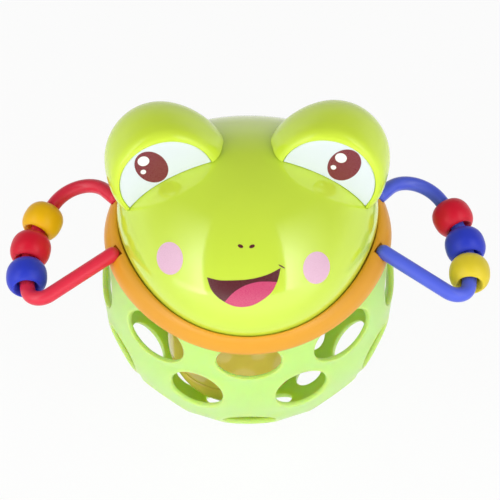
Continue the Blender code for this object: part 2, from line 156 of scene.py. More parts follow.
@dataclass(frozen=True)
class MouldedPlastic(Finish):
    """Injection-moulded plastic: even colour with faint flow clouds, and the ripple of the mould's polish.

    The colour wanders between two tones in clouds about two centimetres wide, as where the melt ran thick or
    thin. Where the plastic glows, light enters its skin a little way, so shaded edges don't go grey.
    """

    colour: str
    cloud: str
    roughness: float
    ior: float = 1.54
    glow: float = 0.0
    glow_depth: float = 1.5
    glow_tint: str = "#FFFFFF"
    cloud_size: float = 22.0
    scuff_size: float = 2.4
    scuff: float = 0.03
    ripple_size: float = 1.6
    ripple_depth: float = 0.004
    coat: float = 0.0
    coat_roughness: float = 0.07

    def wire(self, tree: bpy.types.NodeTree) -> bpy.types.NodeSocket:
        """Adds flow clouds, scuffs and the mould's ripple to a plastic shader.

        Args:
            tree: Empty node tree of the material.

        Returns:
            Output of the shader.
        """
        place = add_node(tree, "ShaderNodeTexCoord").outputs["Object"]
        cloud = add_node(
            tree,
            "ShaderNodeTexNoise",
            {"Scale": per_metre(self.cloud_size), "Detail": 2.0},
            {"Vector": place},
        )
        tone = add_node(
            tree,
            "ShaderNodeMix",
            {"data_type": "RGBA", 6: linear(self.colour), 7: linear(self.cloud)},
            {0: cloud.outputs["Fac"]},
        )
        scuff = add_node(
            tree,
            "ShaderNodeTexNoise",
            {"Scale": per_metre(self.scuff_size), "Detail": 4.0},
            {"Vector": place},
        )
        polish = add_node(
            tree,
            "ShaderNodeMapRange",
            {"To Min": self.roughness - self.scuff, "To Max": self.roughness + self.scuff},
            {"Value": scuff.outputs["Fac"]},
        )
        ripple = add_node(
            tree,
            "ShaderNodeTexNoise",
            {"Scale": per_metre(self.ripple_size), "Detail": 1.0},
            {"Vector": place},
        )
        skin = add_node(
            tree,
            "ShaderNodeBump",
            {"Strength": 1.0, "Distance": self.ripple_depth * MM},
            {"Height": ripple.outputs["Fac"]},
        )
        shader = add_node(
            tree,
            "ShaderNodeBsdfPrincipled",
            {
                "IOR": self.ior,
                "Subsurface Weight": self.glow,
                "Subsurface Radius": linear(self.glow_tint)[:3],
                "Subsurface Scale": self.glow_depth * MM,
                "Coat Weight": self.coat,
                "Coat Roughness": self.coat_roughness,
            },
            {
                "Base Color": tone.outputs[2],
                "Roughness": polish.outputs["Result"],
                "Normal": skin.outputs["Normal"],
            },
        )
        return shader.outputs["BSDF"]


@dataclass(frozen=True)
class PrintedInk(Finish):
    """Pad-printed ink: a flat coat a few hundredths of a millimetre thick, duller than the plastic under it.

    The pad leaves tiny pinholes, so the ink is a shade off in specks.
    """

    colour: str
    speck: str
    roughness: float = 0.28
    dulling: float = 0.05
    ior: float = 1.5
    speck_size: float = 0.25

    def wire(self, tree: bpy.types.NodeTree) -> bpy.types.NodeSocket:
        """Adds the specks of the ink to a plain shader.

        Args:
            tree: Empty node tree of the material.

        Returns:
            Output of the shader.
        """
        place = add_node(tree, "ShaderNodeTexCoord").outputs["Object"]
        # Real pinholes are finer than a pixel, so the specks are drawn several times as coarse
        specks = add_node(
            tree,
            "ShaderNodeTexNoise",
            {"Scale": per_metre(self.speck_size), "Detail": 3.0},
            {"Vector": place},
        )
        tone = add_node(
            tree,
            "ShaderNodeMix",
            {"data_type": "RGBA", 6: linear(self.colour), 7: linear(self.speck)},
            {0: specks.outputs["Fac"]},
        )
        gloss = add_node(
            tree,
            "ShaderNodeMapRange",
            {"To Min": self.roughness - self.dulling, "To Max": self.roughness + self.dulling},
            {"Value": specks.outputs["Fac"]},
        )
        shader = add_node(
            tree,
            "ShaderNodeBsdfPrincipled",
            {"IOR": self.ior},
            {"Base Color": tone.outputs[2], "Roughness": gloss.outputs["Result"]},
        )
        return shader.outputs["BSDF"]


@dataclass(frozen=True)
class PlatedSteel(Finish):
    """Zinc-plated steel, cold headed: grey metal with a cloudy, slightly brushed plating."""

    colour: str
    stain: str
    roughness: float = 0.35
    cloudiness: float = 0.1
    brush_size: float = 0.4

    def wire(self, tree: bpy.types.NodeTree) -> bpy.types.NodeSocket:
        """Adds the brushed, cloudy plating to a metal shader.

        Args:
            tree: Empty node tree of the material.

        Returns:
            Output of the shader.
        """
        place = add_node(tree, "ShaderNodeTexCoord").outputs["Object"]
        brush = add_node(
            tree,
            "ShaderNodeTexNoise",
            {"Scale": per_metre(self.brush_size), "Detail": 4.0},
            {"Vector": place},
        )
        tone = add_node(
            tree,
            "ShaderNodeMix",
            {"data_type": "RGBA", 6: linear(self.colour), 7: linear(self.stain)},
            {0: brush.outputs["Fac"]},
        )
        gloss = add_node(
            tree,
            "ShaderNodeMapRange",
            {"To Min": self.roughness - self.cloudiness, "To Max": self.roughness + self.cloudiness},
            {"Value": brush.outputs["Fac"]},
        )
        shader = add_node(
            tree,
            "ShaderNodeBsdfPrincipled",
            {"Metallic": 1.0},
            {"Base Color": tone.outputs[2], "Roughness": gloss.outputs["Result"]},
        )
        return shader.outputs["BSDF"]


def seen_rays(tree: bpy.types.NodeTree) -> bpy.types.NodeSocket:
    """Adds the nodes that pick out rays from the eye, from reflections and through glass.

    Args:
        tree: Node tree of a floor or a world.

    Returns:
        Output that is 1 for those rays and 0 for the light that falls on the toy.
    """
    path = add_node(tree, "ShaderNodeLightPath")
    eye = add_node(
        tree,
        "ShaderNodeMath",
        {"operation": "MAXIMUM"},
        {0: path.outputs["Is Camera Ray"], 1: path.outputs["Is Glossy Ray"]},
    )
    both = add_node(
        tree,
        "ShaderNodeMath",
        {"operation": "MAXIMUM"},
        {0: eye.outputs[0], 1: path.outputs["Is Transmission Ray"]},
    )
    return both.outputs[0]


@dataclass(frozen=True)
class StudioPaper(Finish):
    """White matt paper: plain white to the eye, with a soft trace of the toy's shadow."""

    name: str = "white_matt_paper"
    colour: str = "#F4F4F2"
    shadow: float = 0.08

    def wire(self, tree: bpy.types.NodeTree) -> bpy.types.NodeSocket:
        """Mixes lit paper with the plain white that the eye and reflections see.

        Args:
            tree: Empty node tree of the material.

        Returns:
            Output of the shader.
        """
        paper = add_node(tree, "ShaderNodeBsdfDiffuse", {"Color": linear(self.colour)})
        white = add_node(tree, "ShaderNodeEmission", {"Color": linear("#FFFFFF"), "Strength": 1.0})
        share = add_node(
            tree,
            "ShaderNodeMapRange",
            {"To Max": 1.0 - self.shadow},
            {"Value": seen_rays(tree)},
        )
        mix = add_node(
            tree,
            "ShaderNodeMixShader",
            links={0: share.outputs["Result"], 1: paper.outputs[0], 2: white.outputs[0]},
        )
        return mix.outputs[0]


# ABS from a mirror-polished mould: deep gloss, crisp reflections of the soft boxes, slight glow at thin edges
LIME = MouldedPlastic(
    "abs_polished_lime",
    "#D3EC48",
    "#CDE744",
    0.14,
    ior=1.46,
    glow=0.15,
    scuff=0.02,
    coat=0.65,
)
# ABS from a satin mould: the same plastic with softer and weaker reflections
HOOD_LIME = MouldedPlastic("abs_satin_lime", "#D8F146", "#D2EC42", 0.17, ior=1.42, glow=0.15, scuff=0.02)
# ABS from a satin mould: an even white without sharp highlights, so that the print on it stays clear
EYE_WHITE = MouldedPlastic("abs_satin_white", "#E3EBF2", "#DFE7EE", 0.3)
# ABS from a matt mould: plain white, hidden inside
PLAIN_WHITE = MouldedPlastic("abs_matt_white", "#E4E4E0", "#DADAD4", 0.5, ripple_size=0.8)
# Polypropylene from an etched mould: broad soft highlights, no mirror image
ORANGE = MouldedPlastic("polypropylene_etched_orange", "#EAA728", "#E69E22", 0.38, ior=1.49, ripple_size=0.6)
# Thermoplastic elastomer: a soft skin with a pale bloom, and light that runs through thin webs into the shade
GREEN = MouldedPlastic(
    "elastomer_soft_green",
    "#C0FE80",
    "#BAFA76",
    0.5,
    ior=1.6,
    glow=1.0,
    glow_depth=6.5,
    glow_tint="#FFE040",
    ripple_size=0.8,
    coat=0.8,
    coat_roughness=0.45,
)
# Polystyrene from a polished mould: clear gloss
RATTLE_YELLOW = MouldedPlastic("polystyrene_gloss_yellow", "#FFDC6C", "#FBD460", 0.14, ior=1.59)
# Polyethylene from plain moulds: satin with a slightly wavy skin
RED = MouldedPlastic("polyethylene_satin_red", "#DE1F38", "#D51830", 0.36, ior=1.3, ripple_depth=0.012)
BLUE = MouldedPlastic("polyethylene_satin_blue", "#3343CC", "#2C3BC2", 0.36, ior=1.3, ripple_depth=0.012)
GOLD = MouldedPlastic("polyethylene_satin_gold", "#F4BE14", "#EFB50E", 0.36, ior=1.3, ripple_depth=0.012)
LEMON = MouldedPlastic("polyethylene_satin_lemon", "#E8D238", "#E2CA30", 0.36, ior=1.3, ripple_depth=0.012)
# Rod of the same plastic, drawn and bent: a little glossier and paler than the beads
RED_ROD = MouldedPlastic("polyethylene_rod_red", "#E5344C", "#E12C45", 0.3, ior=1.4, ripple_depth=0.012)
BLUE_ROD = MouldedPlastic("polyethylene_rod_blue", "#5A6CE8", "#5162E0", 0.3, ior=1.4, ripple_depth=0.012)
# Steel, cold headed and zinc plated: a cloudy grey shine
STEEL = PlatedSteel("steel_zinc_plated", "#C9C9CC", "#A9ABB0")
# Ink put on with a pad: flat colour with crisp edges
BROWN_INK = PrintedInk("ink_pad_printed_brown", "#7C2B35", "#802E38")
MOUTH_INK = PrintedInk("ink_pad_printed_maroon", "#5C2229", "#60262D")
PINK_INK = PrintedInk("ink_pad_printed_pink", "#D04771", "#D34B75")
BLUSH_INK = PrintedInk("ink_pad_printed_blush", "#E4B8CF", "#E6BBD2")
WHITE_INK = PrintedInk("ink_pad_printed_white", "#F8FBFA", "#F2F6F4")


# Meshes

# Points of a turned mesh that are nearer than this are one point, as on the axis
MERGE = 0.001
# Top of a printed film over its surface, top of a film that lies on another, and depth of a film's underside
FILM_TOP = 0.05
FILM_OVER = 0.09
FILM_SINK = 0.03


def smooth(points: Sequence[Sequence[float]], spans: int) -> list[Vector]:
    """Draws a smooth curve through points.

    Args:
        points: Points of two or three coordinates.
        spans: Steps from each point to the next.

    Returns:
        Points along the curve.
    """
    knots = [Vector(p) for p in points]
    count = len(knots)

    def slope(k: int) -> Vector:
        """Direction of the curve at a point, weighted by the lengths on both sides.

        Args:
            k: Number of the point.

        Returns:
            The direction, for a length of one.
        """
        before = knots[max(0, k - 1)]
        after = knots[min(count - 1, k + 1)]
        back = (knots[k] - before).length
        ahead = (after - knots[k]).length
        if back == 0.0:
            return (after - knots[k]) / ahead
        if ahead == 0.0:
            return (knots[k] - before) / back
        return ((after - knots[k]) * back / ahead + (knots[k] - before) * ahead / back) / (back + ahead)

    made = []
    for k in range(count - 1):
        start, end = knots[k], knots[k + 1]
        length = (end - start).length
        first, last = slope(k) * length, slope(k + 1) * length
        for step in range(spans):
            t = step / spans
            bend = t * t * (3.0 - 2.0 * t)
            made.append(
                start * (1.0 - bend) + end * bend + first * (t * (1.0 - t) ** 2) - last * (t * t * (1.0 - t))
            )
    return [*made, knots[-1]]


def loft(
    profile_at: Callable[[float], Sequence[Sequence[float]]],
    steps: int,
    closed: bool = False,
) -> bmesh.types.BMesh:
    """Turns a profile about Z. The profile may change on the way round.

    Args:
        profile_at: Gives the (radius, height) points at an azimuth in radians.
        steps: Number of profiles round the axis.
        closed: Whether the last point of the profile joins the first.

    Returns:
        The mesh, with its faces pointing out.
    """
    mesh = bmesh.new()
    rings = []
    for k in range(steps):
        azimuth = 2.0 * math.pi * k / steps
        out = Vector((math.sin(azimuth), -math.cos(azimuth), 0.0))
        rings.append([mesh.verts.new((out * r + UP * z) * MM) for r, z in profile_at(azimuth)])
    for here, there in zip(rings, rings[1:] + rings[:1]):
        count = len(here)
        for k in range(count if closed else count - 1):
            n = (k + 1) % count
            mesh.faces.new((here[k], here[n], there[n], there[k]))
    bmesh.ops.remove_doubles(mesh, verts=mesh.verts, dist=MERGE * MM)
    bmesh.ops.recalc_face_normals(mesh, faces=mesh.faces)
    return mesh


def rod(radius: float, length: float, steps: int = 48) -> bmesh.types.BMesh:
    """Cylinder along +Z from the origin."""
    profile = [(0.0, 0.0), (radius, 0.0), (radius, length), (0.0, length)]
    return loft(lambda azimuth: profile, steps)


def as_object(name: str, mesh: bmesh.types.BMesh, place: Matrix | None = None) -> bpy.types.Object:
    """Makes an object from a mesh.

    Args:
        name: Name of the object.
        mesh: Mesh, which is used up.
        place: Where it stands. Left out, it stays at the origin.

    Returns:
        The object, linked to the scene.
    """
    data = bpy.data.meshes.new(name)
    mesh.to_mesh(data)
    mesh.free()
    made = bpy.data.objects.new(name, data)
    made.matrix_world = place or Matrix.Identity(4)
    bpy.context.scene.collection.objects.link(made)
    return made


def settle(piece: bpy.types.Object, finish: Finish, sharp: float = 32.0) -> None:
    """Applies the modifiers of a piece, shades it and gives it its finish.

    Args:
        piece: Mesh object.
        finish: Its material.
        sharp: Edges that turn more than this angle stay sharp.
    """
    graph = bpy.context.evaluated_depsgraph_get()
    data = bpy.data.meshes.new_from_object(piece.evaluated_get(graph))
    piece.modifiers.clear()
    piece.data = data
    data.shade_smooth()
    data.set_sharp_from_angle(angle=math.radians(sharp))
    data.materials.clear()
    data.materials.append(finish.material())


def carve(piece: bpy.types.Object, cutters: Sequence[bpy.types.Object]) -> None:
    """Cuts shapes out of a piece, when it settles.

    Args:
        piece: Mesh object that is cut.
        cutters: Closed mesh objects.
    """
    for cutter in cutters:
        cut = piece.modifiers.new(cutter.name, "BOOLEAN")
        cut.operation = "DIFFERENCE"
        cut.solver = "EXACT"
        cut.object = cutter


def hand_over(piece: bpy.types.Object, body: str, slot: str, *nodes: str) -> None:
    """Puts a finished piece on its body, in place of the solids that it stands for.

    Args:
        piece: Finished object.
        body: Body that it moves with.
        slot: Material slot of the record. Not used.
        nodes: Solids that it replaces.
    """
    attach(piece, body)
    if nodes:
        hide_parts(*nodes)
    LOG.info("%s rides on %s and replaces %s", piece.name, body, ", ".join(nodes) or "nothing")


def film(
    name: str,
    outline: Sequence[Vector],
    centre: Pair,
    place: Callable[[float, float, float], Vector],
    lift: float,
    finish: PrintedInk,
    rings: int = 10,
) -> bpy.types.Object:
    """Makes a closed film of ink with a given outline.

    Args:
        name: Name of the piece.
        outline: Closed outline in the plane of the print, in millimetres.
        centre: Point from which the whole outline can be seen.
        place: Gives the point in metres for two print coordinates and a height over the surface.
        lift: Height of the top of the film over the surface.
        finish: Ink.
        rings: Rings of faces from the centre to the outline.

    Returns:
        The film.
    """
    mesh = bmesh.new()
    middle = Vector(centre)
    skins = []
    for height in (lift, -FILM_SINK):
        tip = mesh.verts.new(place(middle.x, middle.y, height))
        loops = []
        for k in range(1, rings + 1):
            points = [middle + (p - middle) * (k / rings) for p in outline]
            loops.append([mesh.verts.new(place(p.x, p.y, height)) for p in points])
        skins.append((tip, loops))
    count = len(outline)
    for tip, loops in skins:
        for k in range(count):
            n = (k + 1) % count
            mesh.faces.new((tip, loops[0][k], loops[0][n]))
            for inner, outer in zip(loops, loops[1:]):
                mesh.faces.new((inner[k], outer[k], outer[n], inner[n]))
    top, bottom = (skin[1][-1] for skin in skins)
    for k in range(count):
        n = (k + 1) % count
        mesh.faces.new((top[k], bottom[k], bottom[n], top[n]))
    bmesh.ops.recalc_face_normals(mesh, faces=mesh.faces)
    made = as_object(name, mesh)
    settle(made, finish)
    return made


def ellipse(centre: Pair, wide: float, high: float, tilt: float = 0.0, count: int = 48) -> list[Vector]:
    """Outline of an ellipse.

    Args:
        centre: Middle of the ellipse.
        wide: Half its width.
        high: Half its height.
        tilt: Turn against the clock, in degrees.
        count: Number of points.

    Returns:
        Points round the ellipse.
    """
    turn = Matrix.Rotation(math.radians(tilt), 2)
    ways = [2.0 * math.pi * k / count for k in range(count)]
    return [Vector(centre) + turn @ Vector((wide * math.cos(t), high * math.sin(t))) for t in ways]


# Sizes that several sub-assemblies share


@dataclass(frozen=True)
class Gauge:
    """Sizes that line the sub-assemblies up with each other."""

    ball_radius: float = 50.0
    squash: float = 0.955
    # Height of the ball's centre over its flat foot, in shares of the squashed radius
    stance: float = 0.975
    wall: float = 2.0
    gap: float = 0.3
    # What shows of the gap round a press-fitted piece
    seam: float = 0.05
    head_equator: float = 31.5
    head_height: float = 24.0
    rim_top: float = 25.0
    rim_outer: float = 44.35
    ledge_thickness: float = 2.0
    # Outlines of head and collar: shares of the ball's radius for no, one, two and more waves round the axis
    head_series: tuple[float, ...] = (0.848, 0.0, 0.008, 0.038)
    collar_series: tuple[float, ...] = (0.929, -0.007, -0.001, 0.014, 0.009)

    @property
    def centre_z(self) -> float:
        """Height of the centre of the ball over the floor."""
        return self.stance * self.squash * self.ball_radius

    @property
    def lifted(self) -> Matrix:
        """Place of the centre of the ball."""
        return Matrix.Translation(UP * self.centre_z * MM)

    @property
    def ledge_low(self) -> float:
        """Height of the underside of the collar's ledge."""
        return self.rim_top + self.gap

    @property
    def ledge_top(self) -> float:
        """Height of the upper side of the collar's ledge."""
        return self.ledge_low + self.ledge_thickness

    def outline(self, series: Sequence[float], azimuth: float) -> float:
        """Radius of an outline at an azimuth in radians."""
        return self.ball_radius * sum(share * math.cos(k * azimuth) for k, share in enumerate(series))

    def head_profile(self, azimuth: float, grown: float, steps: int = 44) -> list[Pair]:
        """Outer side of the head from its top down to its widest line.

        Args:
            azimuth: Azimuth in radians.
            grown: Margin by which the head is enlarged all round.
            steps: Number of steps along the profile.

        Returns:
            Points as radius and height.
        """
        reach = self.outline(self.head_series, azimuth)
        grow = reach / (self.head_series[0] * self.ball_radius)
        made = []
        for k in range(steps + 1):
            t = 0.5 * math.pi * k / steps
            across = (reach + grown * grow) * math.sin(t)
            made.append((across, self.head_equator + (self.head_height + grown) * math.cos(t)))
        return made


GAUGE = Gauge()


# Lattice ball


@dataclass
class LatticeBall:
    """Soft ball of round finger holes in rows, hexagon beside hexagon, with a flat foot and a rim on top."""

    columns: int = 9
    # Smoothing draws the skin and the holes in, so their points lie further out by these factors
    bulge: float = 1.004
    hole_bulge: float = 1.16
    rim_top_latitude: float = 30.0
    rim_low_latitude: float = 27.5
    floor_latitude: float = -71.5
    foot_radius: float = 12.0
    # Rings of the foot, in shares of its radius
    foot_rings: Pair = (1.0, 0.72)
    # Latitude, half width and half height of the holes in degrees of arc, how much wider they are beside the
    # chin, and how far the row sinks at the sides
    rows: tuple[tuple[float, float, float, float, float], ...] = (
        (20.6, 12.3, 7.6, 0.14, 8.0),
        (2.8, 10.7, 10.4, 0.0, 16.0),
        (-22.5, 10.8, 10.8, 0.0, 18.0),
        (-56.0, 7.6, 6.2, 0.0, 4.0),
    )
    corners: tuple[float, ...] = (150.0, 90.0, 30.0, -30.0, -90.0, -150.0)
    crease: float = 0.35
    levels: int = 3
    sharp: float = 80.0

    def on_ball(self, azimuth: float, latitude: float) -> Vector:
        """Finds a point of the skin.

        Args:
            azimuth: Azimuth of the point.
            latitude: Its latitude on the ball.

        Returns:
            The point, in metres from the centre of the ball.
        """
        a, b = math.radians(azimuth), math.radians(latitude)
        way = Vector((math.sin(a) * math.cos(b), -math.cos(a) * math.cos(b), math.sin(b)))
        return way * GAUGE.ball_radius * self.bulge * MM

    def ring(self, mesh: bmesh.types.BMesh, heights: Sequence[Pair]) -> list[bmesh.types.BMVert]:
        """Adds a ring of points.

        Args:
            mesh: Mesh that gets the points.
            heights: Latitudes and how far they sink at the sides, which repeat round the ball.

        Returns:
            The points, from the front on.
        """
        count = 2 * self.columns
        made = []
        for k in range(count):
            azimuth = k * 360.0 / count
            latitude, sag = heights[k % len(heights)]
            made.append(mesh.verts.new(self.on_ball(azimuth, latitude - self.sunk(azimuth, sag))))
        return made

    @staticmethod
    def sunk(azimuth: float, sag: float) -> float:
        """How far a row has sunk at an azimuth, for its sag at the sides."""
        return sag * math.sin(math.radians(azimuth)) ** 4

    def band(self, mesh: bmesh.types.BMesh, upper: list, lower: list) -> None:
        """Joins two rings with quads.

        Args:
            mesh: Mesh that gets the quads.
            upper: Points of the upper ring.
            lower: Points of the lower ring.
        """
        count = len(upper)
        for k in range(count):
            n = (k + 1) % count
            mesh.faces.new((upper[k], lower[k], lower[n], upper[n]))

    def hole_row(
        self,
        mesh: bmesh.types.BMesh,
        upper: list,
        lower: list,
        row: Sequence[float],
        shift: int,
    ) -> None:
        """Adds the web of one row: six quads from each honeycomb cell in to its round hole.

        Args:
            mesh: Mesh that gets the web.
            upper: Ring of points over the row.
            lower: Ring of points under the row.
            row: Latitude, half width, half height, spread and sag of the holes.
            shift: 0 where a hole is in front, 1 where a web is.
        """
        latitude, wide, high, spread, sag = row
        count = 2 * self.columns
        for column in range(self.columns):
            middle = 2 * column + shift
            left, right = (middle - 1) % count, (middle + 1) % count
            middle %= count
            cell = (upper[left], upper[middle], upper[right], lower[right], lower[middle], lower[left])
            centre = (2 * column + shift) * 360.0 / count
            size = self.hole_bulge * (1.0 + spread * abs(math.sin(math.radians(2.0 * centre))))
            level = latitude - self.sunk(centre, sag)
            loop = []
            for corner in self.corners:
                t = math.radians(corner)
                sideways = size * wide * math.cos(t) / math.cos(math.radians(level))
                lat = level + size * high * math.sin(t)
                loop.append(mesh.verts.new(self.on_ball(centre + sideways, lat)))
            for k in range(len(cell)):
                n = (k + 1) % len(cell)
                mesh.faces.new((cell[n], cell[k], loop[k], loop[n]))

    def build(self) -> None:
        """Builds the ball and hands it over."""
        mesh = bmesh.new()
        top = self.ring(mesh, ((self.rim_top_latitude, 0.0),))
        upper = self.ring(mesh, ((self.rim_low_latitude, 0.0),))
        self.band(mesh, top, upper)
        levels = [(row[0], row[4]) for row in self.rows] + [(self.floor_latitude, 0.0)]
        for k, row in enumerate(self.rows):
            (here, sag), (below, sag_below) = levels[k], levels[k + 1]
            own = (here - (here - below) * 2.0 / 3.0, 0.5 * (sag + sag_below))
            between = (here - (here - below) / 3.0, 0.5 * (sag + sag_below))
            lower = self.ring(mesh, (own, between) if k % 2 == 0 else (between, own))
            self.hole_row(mesh, upper, lower, row, k % 2)
            upper = lower
        floor = self.ring(mesh, (levels[-1],))
        self.band(mesh, upper, floor)
        for share in self.foot_rings:
            foot = self.ring(mesh, ((0.0, 0.0),))
            for vert in foot:
                vert.co *= share * self.foot_radius / (GAUGE.ball_radius * self.bulge)
                vert.co.z = -GAUGE.centre_z / GAUGE.squash * MM
            self.band(mesh, floor, foot)
            floor = foot
        mesh.faces.new(tuple(reversed(floor)))
        for vert in mesh.verts:
            vert.co.z *= GAUGE.squash if vert.co.z < 0.0 else 1.0
        ball = as_object("lattice_ball_skin", mesh, GAUGE.lifted)
        wall = ball.modifiers.new("wall", "SOLIDIFY")
        wall.thickness = GAUGE.wall * MM
        wall.offset = -1.0
        wall.edge_crease_inner = self.crease
        wall.edge_crease_outer = self.crease
        soft = ball.modifiers.new("soft edges", "SUBSURF")
        soft.levels = self.levels
        soft.render_levels = self.levels
        settle(ball, GREEN, self.sharp)
        hand_over(ball, "toy", "soft_green", "cage_ball")


# Collar


@dataclass
class Collar:
    """Orange ring that holds head and ball together, with a hidden ledge and sockets for the loops."""

    low: float = 22.6
    top: float = 29.7
    lip_gap: float = 0.1
    ledge_inner: float = 31.0
    screw_circle: float = 33.875
    screw_hole: float = 1.55
    screw_count: int = 4
    first_screw: float = 45.0
    steps: int = 216

    def profile(self, azimuth: float) -> list[Sequence[float]]:
        """Draws the section of the ring, from the ledge round to the ledge again.

        Args:
            azimuth: Azimuth in radians.

        Returns:
            Points as radius and height.
        """
        head = GAUGE.outline(GAUGE.head_series, azimuth) + self.lip_gap
        edge = GAUGE.outline(GAUGE.collar_series, azimuth)
        groove = GAUGE.rim_outer + GAUGE.gap
        tall = self.top - self.low
        low = self.low
        skin = smooth(
            [
                (groove, low + 0.06 * tall),
                (groove + 0.3 * (edge - groove), low),
                (edge - 0.4 * (edge - groove), low + 0.005 * tall),
                (edge - 0.1 * (edge - groove), low + 0.08 * tall),
                (edge, low + 0.22 * tall),
                (edge - 0.06 * (edge - head), low + 0.42 * tall),
                (edge - 0.22 * (edge - head), low + 0.65 * tall),
                (edge - 0.45 * (edge - head), low + 0.86 * tall),
                (edge - 0.7 * (edge - head), low + 0.97 * tall),
                (head + 0.1 * (edge - head), self.top),
                (head + 0.01 * (edge - head), self.top - 0.02 * tall),
                (head, self.top - 0.06 * tall),
            ],
            4,
        )
        inside = [(head, GAUGE.ledge_top), (self.ledge_inner, GAUGE.ledge_top)]
        return [(self.ledge_inner, GAUGE.ledge_low), (groove, GAUGE.ledge_low), *skin, *inside]

    def build(self, sockets: Sequence[bpy.types.Object]) -> None:
        """Builds the ring and hands it over.

        Args:
            sockets: Shapes that the ends of the loops need.
        """
        ring = as_object("collar_skin", loft(self.profile, self.steps, closed=True), GAUGE.lifted)
        drills = []
        for k in range(self.screw_count):
            t = math.radians(self.first_screw + k * 360.0 / self.screw_count)
            spot = Vector((math.sin(t), -math.cos(t), 0.0)) * self.screw_circle
            spot.z = GAUGE.centre_z + GAUGE.ledge_low - GAUGE.ledge_thickness
            hole = rod(self.screw_hole, 3.0 * GAUGE.ledge_thickness)
            drills.append(as_object(f"screw_drill_{k + 1}", hole, Matrix.Translation(spot * MM)))
        carve(ring, [*sockets, *drills])
        settle(ring, ORANGE)
        for tool in (*sockets, *drills):
            bpy.data.objects.remove(tool)
        hand_over(ring, "toy", "matt_orange", "collar_ring")


# Head and face


@dataclass
class Head:
    """Glossy dome, open below, with a rounded triangle for an outline."""

    wall: float = 2.2
    skirt_share: float = 0.988
    steps: int = 216

    def profile(self, azimuth: float) -> list[Pair]:
        """Draws the section of the shell, from the top outside to the top inside.

        Args:
            azimuth: Azimuth in radians.

        Returns:
            Points as radius and height.
        """
        reach = GAUGE.outline(GAUGE.head_series, azimuth)
        grow = reach / (GAUGE.head_series[0] * GAUGE.ball_radius)
        low = GAUGE.ledge_top + GAUGE.gap
        outer = GAUGE.head_profile(azimuth, 0.0)
        inner = GAUGE.head_profile(azimuth, -self.wall)
        skirt = [(self.skirt_share * reach, low), (self.skirt_share * reach - self.wall * grow, low)]
        return [*outer, *skirt, *reversed(inner)]

    def cutter(self) -> bpy.types.Object:
        """Makes the tool that cuts what stands on the head.

        Returns:
            A solid head with a gap round it.
        """

        def solid(azimuth: float) -> list[Pair]:
            """Section of the solid head."""
            outer = GAUGE.head_profile(azimuth, GAUGE.gap)
            return [*outer, (outer[-1][0], 0.0), (0.0, 0.0)]

        return as_object("head_cutter", loft(solid, self.steps), GAUGE.lifted)

    def build(self) -> None:
        """Builds the dome and hands it over."""
        dome = as_object("head_skin", loft(self.profile, self.steps), GAUGE.lifted)
        settle(dome, LIME)
        hand_over(dome, "toy", "gloss_lime", "head_dome")


